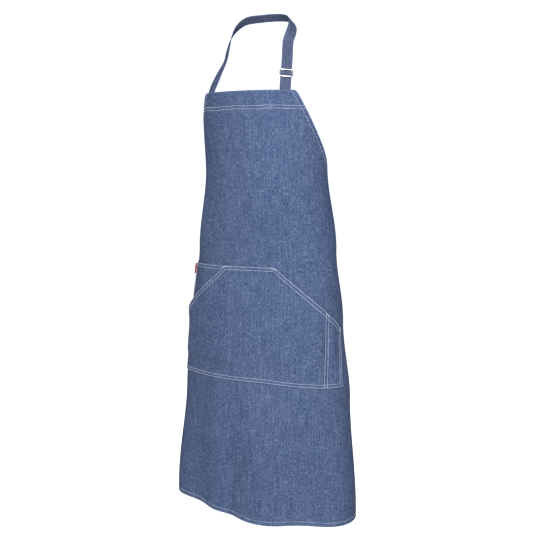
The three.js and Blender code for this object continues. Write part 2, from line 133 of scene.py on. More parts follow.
def smoothstep(value, low, high):
    share = np.clip((np.asarray(value, float) - low) / (high - low), 0, 1)
    return share * share * (3 - 2 * share)


def form_at(drop):
    """The body form's half-width and half-depth at each drop."""
    half_width = np.full_like(drop, FORM_HALF_WIDTHS[0])
    half_depth = np.full_like(drop, FORM_HALF_DEPTHS[0])
    for index in range(len(FORM_DROPS) - 1):
        share = smoothstep(drop, FORM_DROPS[index], FORM_DROPS[index + 1])
        half_width += share * (FORM_HALF_WIDTHS[index + 1] - FORM_HALF_WIDTHS[index])
        half_depth += share * (FORM_HALF_DEPTHS[index + 1] - FORM_HALF_DEPTHS[index])
    return half_width, half_depth


GAUSS_POINTS, GAUSS_WEIGHTS = np.polynomial.legendre.leggauss(12)


def ring_angle(distance, half_width, half_depth):
    """The ellipse angle, from the front, that lies `distance` along the ellipse."""
    angle = distance / ((half_width + half_depth) / 2)
    for _ in range(8):
        steps = angle[:, None] * (GAUSS_POINTS + 1) / 2
        speeds = np.hypot(half_width[:, None] * np.cos(steps), half_depth[:, None] * np.sin(steps))
        length = angle / 2 * (speeds @ GAUSS_WEIGHTS)
        speed = np.hypot(half_width * np.cos(angle), half_depth * np.sin(angle))
        angle = angle + (distance - length) / speed
    return angle


def waves(across, drop, folds):
    return sum(height * np.sin(across * 2 * np.pi / width + phase + slant * drop)
               for height, width, phase, slant in folds)


def soft_folds(across, drop):
    """Shallow upright folds that open towards the hem, and slight ease in the bib."""
    hang = smoothstep(drop, *FOLDS_OPEN)
    beside_hollow = across - HOLLOW_ACROSS + HOLLOW_SLANT * (drop - HOLLOW_DROP)
    hollow = -HOLLOW_DEPTH * np.exp(-(beside_hollow / HOLLOW_REACH) ** 2)
    ease = waves(across, drop, BIB_EASE) * smoothstep(drop, *EASE_FROM)
    return hang * (waves(across, drop, SKIRT_FOLDS) + hollow) + (1 - hang) * ease


def hang_shift(across, drop):
    """The left side sags at the pocket, and the right side's hem is hitched up."""
    low = smoothstep(drop, HITCH_FROM, APRON_LENGTH)
    sag = smoothstep(across, 0, SAG_ACROSS) * smoothstep(drop, SAG_FROM, SAG_TO) * (1 - SAG_RELEASE * low)
    hitch = smoothstep(-across, HITCH_ACROSS_FROM, HITCH_ACROSS_TO) * low
    return HITCH_RISE * hitch - SAG_DEPTH * sag


def drape(across, drop, lift=0.0):
    """Points on the draped apron and the outward direction at each of them."""
    across, drop, lift = np.broadcast_arrays(
        np.asarray(across, float), np.asarray(drop, float), np.asarray(lift, float))
    shape = across.shape
    across, drop, lift = across.ravel(), drop.ravel(), lift.ravel()
    half_width, half_depth = form_at(drop)
    turned = across + TURN_ACROSS * smoothstep(drop, TURN_FROM, TURN_TO)
    angle = ring_angle(np.abs(turned), half_width, half_depth)
    side = np.where(turned < 0, -1.0, 1.0)
    normals = np.stack([
        side * half_depth * np.sin(angle),
        -half_width * np.cos(angle),
        np.zeros_like(angle),
    ], axis=-1)
    normals /= np.linalg.norm(normals, axis=-1, keepdims=True)
    points = np.stack([
        side * half_width * np.sin(angle) - LEAN_TOP * (1 - smoothstep(drop, 0, LEAN_TO)),
        -half_depth * np.cos(angle) - FORM_AXIS_AHEAD_OF_NAPE,
        hang_shift(across, drop) - BIB_TOP_BELOW_NAPE - drop,
    ], axis=-1)
    points += normals * (lift + soft_folds(across, drop))[:, None]
    return points.reshape(*shape, 3), normals.reshape(*shape, 3)


def pattern_half_width(drop):
    """Half of the pattern's width, with the bib's top corners rounded off."""
    drop = np.asarray(drop, float)
    down = np.clip(drop / ARMHOLE_DROP, 0, 1)
    share = ARMHOLE_SLANT * down + (1 - ARMHOLE_SLANT) * down ** ARMHOLE_SWEEP
    straight = BIB_TOP_HALF_WIDTH + (APRON_HALF_WIDTH - BIB_TOP_HALF_WIDTH) * share
    above = np.clip(CORNER_RADIUS - drop, 0, CORNER_RADIUS)
    return straight - (CORNER_RADIUS - np.sqrt(CORNER_RADIUS ** 2 - above ** 2))


# ---- Mesh helpers ----------------------------------------------------------------

def make_mesh(name, points, faces, uvs, materials, face_slots=None, seams=None):
    """A smooth mesh object with a pattern UV per corner and a seam value per vertex."""
    mesh = bpy.data.meshes.new(name)
    mesh.from_pydata([tuple(point) for point in points], [], faces)
    layer = mesh.uv_layers.new(name="pattern")
    corner_vertices = np.empty(len(mesh.loops), dtype=np.int32)
    mesh.loops.foreach_get("vertex_index", corner_vertices)
    layer.data.foreach_set("uv", np.asarray(uvs, float)[corner_vertices].ravel())
    seam_values = mesh.attributes.new("seam", "FLOAT", "POINT")
    seam_values.data.foreach_set("value", np.zeros(len(points)) if seams is None else seams)
    for material in materials:
        mesh.materials.append(material)
    if face_slots is not None:
        mesh.polygons.foreach_set("material_index", face_slots)
    mesh.polygons.foreach_set("use_smooth", np.ones(len(faces), dtype=bool))
    mesh.update()
    piece = bpy.data.objects.new(name, mesh)
    bpy.context.scene.collection.objects.link(piece)
    return piece


def grid_faces(rows, columns, offset=0, flip=False):
    faces = []
    for row in range(rows - 1):
        for column in range(columns - 1):
            first = offset + row * columns + column
            face = (first, first + columns, first + columns + 1, first + 1)
            faces.append(face[::-1] if flip else face)
    return faces


def lengths_along(path):
    """How far along a path each of its points lies."""
    return np.concatenate([[0], np.cumsum(np.linalg.norm(np.diff(path, axis=0), axis=1))])


def ring_faces(rings, sides, closed=False):
    """Faces between rings of points, with both ends capped unless the rings are joined."""
    faces = []
    for ring in range(rings if closed else rings - 1):
        following = (ring + 1) % rings
        for side in range(sides):
            beside = (side + 1) % sides
            faces.append((ring * sides + side, ring * sides + beside,
                          following * sides + beside, following * sides + side))
    if not closed:
        last = (rings - 1) * sides
        faces.append(tuple(range(sides - 1, -1, -1)))
        faces.append(tuple(last + side for side in range(sides)))
    return faces


def rim_loop(rows, columns):
    """Grid indices once round the outside: top, right, bottom, left."""
    top = [column for column in range(columns)]
    right = [row * columns + columns - 1 for row in range(1, rows)]
    bottom = [(rows - 1) * columns + column for column in range(columns - 2, -1, -1)]
    left = [row * columns for row in range(rows - 2, 0, -1)]
    return top + right + bottom + left


def cloth_shell(name, across, drop, outer, thick, materials, seams=None, turned=None):
    """A closed layer of cloth over a grid of pattern places, with a rounded edge.

    outer is the lift of its outer face and thick its thickness, numbers or grids.
    materials are the outer face's, the inner face's and that of the hems on the inside,
    which lie where the grid `turned` is true.
    """
    rows, columns = across.shape
    outer_points, normals = drape(across, drop, outer)
    inner_points, _ = drape(across, drop, np.asarray(outer) - thick)
    loop = rim_loop(rows, columns)
    count = rows * columns
    middle = (outer_points + inner_points).reshape(count, 3)[loop] / 2
    ahead, behind = np.roll(middle, -1, axis=0), np.roll(middle, 1, axis=0)
    away = np.cross(normals.reshape(count, 3)[loop], ahead - behind)
    away /= np.linalg.norm(away, axis=1, keepdims=True) + 1e-12
    rim_thick = np.broadcast_to(thick, across.shape).reshape(count)[loop]
    rim = middle + away * np.minimum(rim_thick, RIM_THICK_LIMIT)[:, None] * RIM_SHARE
    points = np.concatenate([outer_points.reshape(count, 3), inner_points.reshape(count, 3), rim])
    faces = grid_faces(rows, columns) + grid_faces(rows, columns, offset=count, flip=True)
    slots = np.zeros(len(faces) + 2 * len(loop), dtype=int)
    cells = (rows - 1) * (columns - 1)
    slots[cells:2 * cells] = 1
    if turned is not None:
        hemmed = turned[:-1, :-1] & turned[1:, :-1] & turned[:-1, 1:] & turned[1:, 1:]
        slots[cells:2 * cells] += hemmed.ravel()
    for place, start in enumerate(loop):
        following = (place + 1) % len(loop)
        end = loop[following]
        rim_start, rim_end = 2 * count + place, 2 * count + following
        faces.append((start, end, rim_end, rim_start))
        faces.append((rim_start, rim_end, count + end, count + start))
    flat = np.stack([across, -drop], axis=-1).reshape(count, 2)
    uvs = np.concatenate([flat, flat, flat[loop]])
    seam_grid = np.zeros(across.shape) if seams is None else seams
    seam_list = np.concatenate([seam_grid.ravel(), seam_grid.ravel(), seam_grid.ravel()[loop]])
    return make_mesh(name, points, faces, uvs, materials, slots, seam_list)


def catmull_rom(points, steps):
    """A centripetal Catmull-Rom curve through the points, and its directions."""
    points = np.asarray(points, float)
    lead_in = 2 * points[0] - points[1]
    lead_out = 2 * points[-1] - points[-2]
    full = np.vstack([lead_in, points, lead_out])
    samples = []
    for place in np.linspace(0, len(points) - 1, steps):
        first = min(int(place), len(points) - 2)
        share = place - first
        p0, p1, p2, p3 = full[first:first + 4]
        gaps = [max(np.linalg.norm(b - a) ** 0.5, 1e-5) for a, b in ((p0, p1), (p1, p2), (p2, p3))]
        start = ((p1 - p0) / gaps[0] - (p2 - p0) / (gaps[0] + gaps[1]) + (p2 - p1) / gaps[1]) * gaps[1]
        end = ((p2 - p1) / gaps[1] - (p3 - p1) / (gaps[1] + gaps[2]) + (p3 - p2) / gaps[2]) * gaps[1]
        cube = 2 * p1 - 2 * p2 + start + end
        square = -3 * p1 + 3 * p2 - 2 * start - end
        samples.append(cube * share ** 3 + square * share ** 2 + start * share + p1)
    samples = np.array(samples)
    directions = np.gradient(samples, axis=0)
    return samples, directions / np.linalg.norm(directions, axis=1, keepdims=True)


# Places round a ribbon's section: across as a share of the half-width, out as a share
# of the half-thickness. The edges are rolled, and the faces are slightly full.
RIBBON_SECTION = (
    (-0.97, -0.62), (-0.86, -0.96), (-0.45, -1.0), (0.0, -0.90), (0.45, -1.0), (0.86, -0.96),
    (0.97, -0.62), (1.0, 0.0), (0.97, 0.62), (0.86, 0.96), (0.45, 1.0), (0.0, 0.90),
    (-0.45, 1.0), (-0.86, 0.96), (-0.97, 0.62), (-1.0, 0.0),
)


def ribbon(name, stations, steps, material, width=STRAP_WIDTH, thick=STRAP_THICK):
    """A flat strap along stations of (point, facing), closed at both ends."""
    path, directions = catmull_rom([point for point, _ in stations], steps)
    facings, _ = catmull_rom([facing for _, facing in stations], steps)
    facings -= directions * np.sum(facings * directions, axis=1, keepdims=True)
    facings /= np.linalg.norm(facings, axis=1, keepdims=True)
    sideways = np.cross(facings, directions)
    section = np.array(RIBBON_SECTION)
    offsets = (sideways[:, None] * section[None, :, :1] * width / 2
               + facings[:, None] * section[None, :, 1:] * thick / 2)
    rings = path[:, None] + offsets
    count = len(section)
    length = lengths_along(path)
    uvs = np.stack([
        np.broadcast_to(section[None, :, 0] * width / 2, (steps, count)),
        np.broadcast_to(length[:, None], (steps, count)),
    ], axis=-1).reshape(-1, 2)
    seams = np.broadcast_to(np.abs(section[None, :, 0]) ** 6, (steps, count)).ravel()
    faces = ring_faces(steps, count)
    return make_mesh(name, rings.reshape(-1, 3), faces, uvs, [material], seams=seams)


def tube(path, radius, sides=12, closed=False):
    """Points and faces of a round wire along a path, with its ends capped if open."""
    path = np.asarray(path, float)
    if closed:
        directions = np.roll(path, -1, axis=0) - np.roll(path, 1, axis=0)
    else:
        directions = np.gradient(path, axis=0)
    directions /= np.linalg.norm(directions, axis=1, keepdims=True)
    rings = []
    normal = Vector(directions[0]).orthogonal().normalized()
    for point, direction in zip(path, directions):
        direction = Vector(direction)
        normal = (normal - direction * normal.dot(direction)).normalized()
        binormal = direction.cross(normal)
        for side in range(sides):
            turn = 2 * math.pi * side / sides
            rings.append(Vector(point) + radius * (math.cos(turn) * normal + math.sin(turn) * binormal))
    return rings, ring_faces(len(path), sides, closed)


# ---- Materials -------------------------------------------------------------------

def add_node(tree, kind, inputs=None, **settings):
    """A shader node. A socket given as an input is linked, and a value is set."""
    made = tree.nodes.new(kind)
    for key, value in settings.items():
        setattr(made, key, value)
    for key, value in (inputs or {}).items():
        if isinstance(value, bpy.types.NodeSocket):
            tree.links.new(value, made.inputs[key])
        else:
            made.inputs[key].default_value = value
    return made


def math_node(tree, operation, *values):
    made = add_node(tree, "ShaderNodeMath", dict(enumerate(values)), operation=operation)
    return made.outputs[0]


def new_material(name):
    material = bpy.data.materials.new(name)
    material.use_nodes = True
    return material, material.node_tree, material.node_tree.nodes["Principled BSDF"]


def pattern_noise(tree, width, height, detail=2.0, shift=0.0):
    """Noise on the cloth's own pattern, in patches about width by height metres."""
    place = add_node(tree, "ShaderNodeUVMap", uv_map="pattern")
    scaled = add_node(tree, "ShaderNodeMapping", {
        "Vector": place.outputs[0], "Scale": (1 / width, 1 / height, 1), "Location": (shift, shift, 0),
    })
    noise = add_node(tree, "ShaderNodeTexNoise", {
        "Vector": scaled.outputs[0], "Scale": 1.0, "Detail": detail,
    }, noise_dimensions="2D")
    return math_node(tree, "SUBTRACT", noise.outputs[0], 0.5)


def diagonal_lines(tree, across_share, along_share, pitch):
    """Sine lines over the pattern, such as twill or a thread's twist."""
    place = add_node(tree, "ShaderNodeUVMap", uv_map="pattern")
    axes = add_node(tree, "ShaderNodeSeparateXYZ", {"Vector": place.outputs[0]})
    along = math_node(tree, "MULTIPLY", axes.outputs[1], along_share * 2 * math.pi / pitch)
    across = across_share * 2 * math.pi / pitch
    return math_node(tree, "SINE", math_node(tree, "MULTIPLY_ADD", axes.outputs[0], across, along))


def weighted_sum(tree, start, terms):
    total = start
    for value, weight in terms:
        total = math_node(tree, "MULTIPLY_ADD", value, weight, total)
    return total


def colour_ramp(tree, value, stops):
    ramp = add_node(tree, "ShaderNodeValToRGB", {0: value})
    elements = ramp.color_ramp.elements
    while len(elements) < len(stops):
        elements.new(0.5)
    for element, (position, colour) in zip(elements, stops):
        element.position = position
        element.color = (*colour, 1.0)
    return ramp.outputs[0]


def finish_cloth(tree, shader, colour, height, roughness, depth, sheen):
    """Colour, rough face and a woven bump, with a soft constant sheen."""
    bump = add_node(tree, "ShaderNodeBump", {"Height": height, "Distance": depth, "Strength": 0.9})
    tree.links.new(colour, shader.inputs["Base Color"])
    tree.links.new(bump.outputs[0], shader.inputs["Normal"])
    tree.links.new(roughness, shader.inputs["Roughness"])
    shader.inputs["Specular IOR Level"].default_value = 0.10
    shader.inputs["Sheen Weight"].default_value = sheen
    shader.inputs["Sheen Roughness"].default_value = 0.5


TWILL_PITCH = 0.00085
THREAD_TWIST = 0.00070


def woven(name, stops, streak, slub, mottle, wear, sheen=0.015, depth=0.00025):
    """Twill cloth: warp streaks down it, weft slubs across it, soft blotches, and
    rubbed, paler cloth along its edges and seams."""
    material, tree, shader = new_material(name)
    streaks = pattern_noise(tree, 0.0030, 0.0500, detail=3.0)
    fine_streaks = pattern_noise(tree, 0.0012, 0.0065, shift=3.1)
    slubs = pattern_noise(tree, 0.0180, 0.0021, shift=5.7)
    blotches = pattern_noise(tree, 0.0200, 0.0310, detail=4.0, shift=9.3)
    wide_shade = pattern_noise(tree, 0.1100, 0.1700, shift=12.1)
    grain = pattern_noise(tree, 0.0011, 0.0014, detail=2.0, shift=2.2)
    twill = diagonal_lines(tree, 0.80, 0.60, TWILL_PITCH)
    seam = add_node(tree, "ShaderNodeAttribute", attribute_name="seam").outputs["Fac"]
    rubbed = math_node(tree, "MULTIPLY", seam, math_node(
        tree, "ADD", 0.65, math_node(tree, "MULTIPLY", pattern_noise(tree, 0.0045, 0.0045), 2.2)))
    tone = weighted_sum(tree, 0.5, [
        (streaks, streak), (fine_streaks, streak * 2.3), (slubs, slub), (blotches, mottle),
        (wide_shade, mottle * 0.6), (grain, 1.00), (twill, 0.030), (rubbed, wear),
    ])
    height = weighted_sum(tree, 0.5, [
        (twill, 0.22), (grain, 0.8), (slubs, 0.8), (fine_streaks, 0.7), (blotches, 0.8),
    ])
    roughness = weighted_sum(tree, 0.88, [(blotches, 0.12), (rubbed, -0.06)])
    finish_cloth(tree, shader, colour_ramp(tree, tone, stops), height, roughness, depth, sheen)
    return material


def denim_face():
    return woven("denim_face", [
        (0.05, (0.013, 0.022, 0.062)), (0.34, (0.038, 0.060, 0.128)),
        (0.60, (0.069, 0.101, 0.186)), (0.98, (0.165, 0.208, 0.312)),
    ], streak=0.48, slub=0.40, mottle=0.20, wear=0.20)


def denim_reverse():
    return woven("denim_reverse", [
        (0.05, (0.080, 0.105, 0.155)), (0.36, (0.150, 0.180, 0.240)),
        (0.60, (0.215, 0.245, 0.305)), (0.98, (0.350, 0.375, 0.420)),
    ], streak=0.60, slub=0.50, mottle=0.20, wear=0.14)


def strap_denim():
    return woven("strap_denim", [
        (0.05, (0.020, 0.027, 0.058)), (0.36, (0.050, 0.065, 0.117)),
        (0.60, (0.078, 0.096, 0.163)), (0.98, (0.150, 0.175, 0.250)),
    ], streak=0.36, slub=0.28, mottle=0.16, wear=0.22)


def tab_cloth():
    return woven("tab_cloth", [
        (0.10, (0.200, 0.030, 0.038)), (0.40, (0.360, 0.062, 0.070)),
        (0.60, (0.440, 0.096, 0.098)), (0.95, (0.520, 0.200, 0.190)),
    ], streak=0.20, slub=0.30, mottle=0.22, wear=0.12)


def sewing_thread():
    material, tree, shader = new_material("sewing_thread")
    twist = diagonal_lines(tree, 1.0, 1.0, THREAD_TWIST)
    tired = pattern_noise(tree, 0.0120, 0.0120, detail=3.0)
    tone = weighted_sum(tree, 0.5, [(twist, 0.16), (tired, 0.9)])
    colour = colour_ramp(tree, tone, [
        (0.05, (0.300, 0.345, 0.440)), (0.45, (0.480, 0.530, 0.620)), (0.90, (0.640, 0.670, 0.730)),
    ])
    roughness = weighted_sum(tree, 0.62, [(tired, 0.20)])
    finish_cloth(tree, shader, colour, twist, roughness, depth=0.00008, sheen=0.10)
    return material


def polished_nickel():
    material, tree, shader = new_material("polished_nickel")
    place = add_node(tree, "ShaderNodeTexCoord").outputs["Object"]
    handling = add_node(tree, "ShaderNodeTexNoise", {"Vector": place, "Scale": 420.0, "Detail": 4.0})
    scratches = add_node(tree, "ShaderNodeTexNoise", {"Vector": place, "Scale": 3200.0, "Detail": 2.0})
    colour = colour_ramp(tree, handling.outputs[0], [
        (0.25, (0.560, 0.555, 0.540)), (0.60, (0.800, 0.795, 0.780)), (0.90, (0.880, 0.880, 0.870)),
    ])
    roughness = weighted_sum(tree, 0.12, [(handling.outputs[0], 0.22)])
    bump = add_node(tree, "ShaderNodeBump", {
        "Height": scratches.outputs[0], "Distance": 0.00003, "Strength": 0.4,
    })
    tree.links.new(colour, shader.inputs["Base Color"])
    tree.links.new(roughness, shader.inputs["Roughness"])
    tree.links.new(bump.outputs[0], shader.inputs["Normal"])
    shader.inputs["Metallic"].default_value = 1.0
    return material


DENIM = denim_face()
DENIM_REVERSE = denim_reverse()
STRAP_DENIM = strap_denim()
TAB_CLOTH = tab_cloth()
THREAD = sewing_thread()
NICKEL = polished_nickel()


# ---- Heights down the apron, and baking pieces in place ----------------------------

def z_at(drop):
    return -BIB_TOP_BELOW_NAPE - drop


def bend_at_waist(piece):
    """Bakes the piece's placement into its mesh."""
    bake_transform(piece)


# ---- Apron cloth -------------------------------------------------------------------

# Distances in from a hemmed edge where a grid line lies: the rolled edge, the stitch
# row and the hem's inner edge.
HEM_INSETS = np.array([0, 0.0012, 0.0035, 0.0062, EDGE_ROW, 0.0102, HEM_WIDTH, HEM_WIDTH + HEM_STEP])
HEM_THICK = CLOTH + 0.0002
STITCH_PULL = 0.00035


def spread(start, end, step):
    return np.linspace(start, end, max(2, round((end - start) / step) + 1))


def edge_slope(drop):
    """How fast the armhole edge moves outwards as it goes down."""
    down = np.clip(drop / ARMHOLE_DROP, 0, 1)
    sweep = ARMHOLE_SLANT + (1 - ARMHOLE_SLANT) * ARMHOLE_SWEEP * down ** (ARMHOLE_SWEEP - 1)
    slope = (APRON_HALF_WIDTH - BIB_TOP_HALF_WIDTH) / ARMHOLE_DROP * sweep
    return slope * (1 - smoothstep(drop, ARMHOLE_DROP - 0.008, ARMHOLE_DROP + 0.012))


def inset_across(drop, inset):
    """The place across that lies `inset` in from the side edge, square to it."""
    return pattern_half_width(drop) - inset * np.hypot(1, edge_slope(drop))


def near(value, centre, reach):
    return np.exp(-((value - centre) / reach) ** 2)


def window(value, reach, fade):
    return 1 - smoothstep(np.abs(value), reach, reach + fade)


def strap_bump(across, drop):
    """How much thicker the facing's fold is where it covers a sewn-in strap end."""
    beside = window(np.abs(across) - STRAP_SEAT, STRAP_WIDTH / 2, 0.004)
    layers = np.where(across > 0, 2, 1)
    return beside * window(drop, STRAP_SEWN_LENGTH, 0.004) * layers * (STRAP_THICK + 0.0004)


def apron_layers(across, drop):
    """The shell's outer lift and thickness, its seam wear, and where it is folded over."""
    inset = (pattern_half_width(drop) - np.abs(across)) / np.hypot(1, edge_slope(drop))
    from_bottom = APRON_LENGTH - drop
    turned = (np.minimum(inset, from_bottom) < HEM_WIDTH + HEM_SLACK) | (drop < FACING_DEPTH + HEM_SLACK)
    thick = CLOTH + np.where(turned, HEM_THICK + strap_bump(across, drop), 0)
    rows = near(inset, EDGE_ROW, ROW_REACH) + near(from_bottom, EDGE_ROW, ROW_REACH)
    rows = rows + near(drop, TOP_ROW, TOP_ROW_REACH) + near(drop, TOP_ROW + ROW_SPACING, TOP_ROW_REACH)
    edges = near(inset, 0, EDGE_REACH) + near(from_bottom, 0, EDGE_REACH) + near(drop, 0, EDGE_REACH)
    outer = -STITCH_PULL * np.clip(rows, 0, 1)
    return outer, thick, np.clip(edges + ROW_WEAR * rows, 0, 1), turned


def apron_cloth():
    drops = np.concatenate([
        [0, 0.0006, 0.0018, 0.0034, 0.0056], spread(0.009, 0.0272, 0.0036),
        spread(0.0290, 0.0385, 0.0016), [FACING_DEPTH, FACING_DEPTH + HEM_STEP],
        spread(0.0460, 0.2980, 0.0055), spread(0.3035, 0.8965, 0.0064),
        APRON_LENGTH - HEM_INSETS[::-1],
    ])
    rows = drops[:, None]
    insets = inset_across(rows, HEM_INSETS[None, :])
    inner_edge = insets[:, -1:]
    shares = np.linspace(-1, 1, 112)[None, 1:-1]
    across = np.concatenate([-insets, inner_edge * shares, insets[:, ::-1]], axis=1)
    drop = np.repeat(rows, across.shape[1], axis=1)
    outer, thick, seams, turned = apron_layers(across, drop)
    piece = cloth_shell("apron_cloth", across, drop, outer, thick,
                        [DENIM, DENIM_REVERSE, DENIM], seams, turned)
    bend_at_waist(piece)
    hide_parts("bib_panel", "skirt_panel", "top_facing", "armhole_hem_left",
                "armhole_hem_right", "side_hem_left", "side_hem_right", "bottom_hem")
    return piece


# ---- Pockets -----------------------------------------------------------------------

POCKET_LIFT = 0.0012
PATCH_FULLNESS = 0.0040
MOUTH_GAPE = 0.0022


def pocket_top_at(across):
    share = (np.abs(across) - POCKET_TOP_HALF_WIDTH) / (POCKET_HALF_WIDTH - POCKET_TOP_HALF_WIDTH)
    return POCKET_TOP_DROP + POCKET_SLANT_DROP * np.clip(share, 0, 1)


def slant_stretch(across):
    """How much longer an inset is when it is measured straight down from a slanted edge."""
    slope = POCKET_SLANT_DROP / (POCKET_HALF_WIDTH - POCKET_TOP_HALF_WIDTH)
    on_slant = smoothstep(np.abs(across), POCKET_TOP_HALF_WIDTH - 0.004, POCKET_TOP_HALF_WIDTH + 0.004)
    return 1 + (math.hypot(1, slope) - 1) * on_slant


def pocket_lift(across, drop):
    """The main pocket's outer face: flush at its sewn edges, fuller between them."""
    from_side = POCKET_HALF_WIDTH - np.abs(across)
    side_share = smoothstep(from_side, 0, 0.050)
    end_share = smoothstep(POCKET_BOTTOM_DROP - drop, 0.004, 0.070)
    top_share = smoothstep(drop - POCKET_TOP_DROP, 0.006, 0.050)
    over_patch = 1 - smoothstep(across, PATCH_INNER_EDGE - 0.006, PATCH_INNER_EDGE + 0.012)
    above_patch_end = 1 - smoothstep(drop, PATCH_BOTTOM_DROP, PATCH_BOTTOM_DROP + 0.018)
    patch_stand = over_patch * above_patch_end * (CLOTH + 0.0004 + PATCH_FULLNESS * side_share)
    divider = 1 - near(across, DIVIDER_ACROSS + ROW_SPACING / 2, 0.012)
    mouth = near(drop - pocket_top_at(across), 0, 0.022) * smoothstep(np.abs(across), 0.070, 0.110)
    gape = MOUTH_GAPE * mouth * side_share
    full = POCKET_FULLNESS * side_share * end_share * top_share * divider
    return POCKET_LIFT + CLOTH / 2 + patch_stand + full + gape


def pocket_layers(across, drop):
    from_top = (drop - pocket_top_at(across)) / slant_stretch(across)
    from_side = POCKET_HALF_WIDTH - np.abs(across)
    from_bottom = POCKET_BOTTOM_DROP - drop
    insets = (from_top, from_side, from_bottom)
    turned = np.minimum.reduce(np.broadcast_arrays(*insets)) < HEM_WIDTH + HEM_SLACK
    rows = sum(near(inset, row, POCKET_ROW_REACH)
               for inset in insets for row in (POCKET_ROW, POCKET_ROW + ROW_SPACING))
    rows = rows + sum(near(across, DIVIDER_ACROSS + shift, POCKET_ROW_REACH) for shift in (0, ROW_SPACING))
    edges = sum(near(inset, 0, POCKET_EDGE_REACH) for inset in insets)
    outer = pocket_lift(across, drop) + np.where(turned, 0.0003, 0) - STITCH_PULL * np.clip(rows, 0, 1)
    thick = np.where(turned, CLOTH + 0.0007, CLOTH)
    return outer, thick, np.clip(edges + ROW_WEAR * rows, 0, 1), turned


POCKET_INSETS = np.array([0, 0.0010, POCKET_ROW, 0.0036, 0.0060, POCKET_ROW + ROW_SPACING, 0.0098,
                          HEM_WIDTH, HEM_WIDTH + HEM_STEP])


def main_pocket():
    inner = POCKET_HALF_WIDTH - POCKET_INSETS[-1]
    before, past = 0.0555, 0.0585
    columns = np.concatenate([
        -POCKET_HALF_WIDTH + POCKET_INSETS, spread(-inner, -past, 0.0048)[1:-1],
        [-past, -POCKET_TOP_HALF_WIDTH, -before], spread(-before, before, 0.0050)[1:-1],
        [before, POCKET_TOP_HALF_WIDTH, past], spread(past, 0.1605, 0.0048)[1:-1],
        spread(0.1620, 0.1764, 0.0018), spread(0.1800, inner, 0.0045)[:-1],
        (POCKET_HALF_WIDTH - POCKET_INSETS)[::-1],
    ])[None, :]
    top = pocket_top_at(columns)
    stretch = slant_stretch(columns)
    upper = top + POCKET_INSETS[:, None] * stretch
    lower = POCKET_BOTTOM_DROP - POCKET_INSETS[::-1][:, None] + 0 * columns
    shares = np.linspace(0, 1, 38)[1:-1, None]
    between = upper[-1:] + (lower[:1] - upper[-1:]) * shares
    drop = np.concatenate([upper, between, lower])
    across = np.repeat(columns, drop.shape[0], axis=0)
    outer, thick, seams, turned = pocket_layers(across, drop)
    piece = cloth_shell("main_pocket_cloth", across, drop, outer, thick,
                        [DENIM, DENIM_REVERSE, DENIM], seams, turned)
    bend_at_waist(piece)
    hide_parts("main_pocket")
    return piece


def patch_lift(across, drop):
    from_edge = np.minimum(across - PATCH_OUTER_EDGE, PATCH_INNER_EDGE - across)
    edge_share = smoothstep(from_edge, 0.002, 0.040)
    end_share = smoothstep(PATCH_BOTTOM_DROP - drop, 0.004, 0.060)
    return CLOTH + 0.0006 + PATCH_FULLNESS * 0.6 * edge_share * end_share


def patch_layers(across, drop):
    from_top = drop - PATCH_TOP_DROP
    from_side = np.minimum(across - PATCH_OUTER_EDGE, PATCH_INNER_EDGE - across)
    turned = (from_top < HEM_WIDTH + HEM_SLACK) | (from_side < HEM_WIDTH + HEM_SLACK)
    rows = sum(near(from_top, row, POCKET_ROW_REACH) for row in (POCKET_ROW, POCKET_ROW + ROW_SPACING))
    edges = near(from_top, 0, POCKET_EDGE_REACH) + near(from_side, 0, POCKET_EDGE_REACH)
    outer = patch_lift(across, drop) - STITCH_PULL * np.clip(rows, 0, 1)
    return outer, np.where(turned, CLOTH + 0.0005, CLOTH), np.clip(edges + ROW_WEAR * rows, 0, 1), turned


def patch_pocket():
    columns = np.concatenate([
        PATCH_OUTER_EDGE + POCKET_INSETS, spread(PATCH_OUTER_EDGE + 0.016, PATCH_INNER_EDGE - 0.016, 0.006),
        PATCH_INNER_EDGE - POCKET_INSETS[::-1],
    ])
    drops = np.concatenate([
        PATCH_TOP_DROP + POCKET_INSETS, spread(PATCH_TOP_DROP + 0.016, PATCH_BOTTOM_DROP, 0.006),
    ])
    across, drop = np.meshgrid(columns, drops)
    outer, thick, seams, turned = patch_layers(across, drop)
    piece = cloth_shell("patch_pocket_cloth", across, drop, outer, thick,
                        [DENIM, DENIM_REVERSE, DENIM], seams, turned)
    bend_at_waist(piece)
    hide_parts("patch_pocket")
    return piece


TAB_WIDTH = 0.008
TAB_HEIGHT = 0.022
TAB_CURL = 0.0050


def side_tab():
    """A small blank tab folded double, sewn in beside the patch pocket's top corner."""
    top = PATCH_TOP_DROP + TAB_HEIGHT / 4
    columns = spread(PATCH_OUTER_EDGE - 0.0009 - TAB_WIDTH, PATCH_OUTER_EDGE + 0.0012, 0.0009)
    across, drop = np.meshgrid(columns, spread(top, top + TAB_HEIGHT, 0.0012))
    from_seam = PATCH_OUTER_EDGE - across
    curl = TAB_CURL * smoothstep(from_seam, -0.001, 1.3 * TAB_WIDTH)
    curl = curl * (1 + 0.15 * np.sin((drop - top) * 260))
    fold = near(from_seam, TAB_WIDTH, 0.0014)
    piece = cloth_shell("side_tab_cloth", across, drop, 0.0022 + curl, 0.0013, [TAB_CLOTH, TAB_CLOTH], fold)
    bend_at_waist(piece)
    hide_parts("side_tab")
    return piece


# ---- Stitching ---------------------------------------------------------------------

STITCH_SIDES = 6
# Along one stitch: its height off the cloth and its thickness, as shares of the thread's
# radius. Both ends dive into the needle holes.
STITCH_RISE = np.array([-0.9, 0.25, 0.62, 0.25, -0.9])
STITCH_SWELL = np.array([0.70, 0.95, 1.0, 0.95, 0.70])


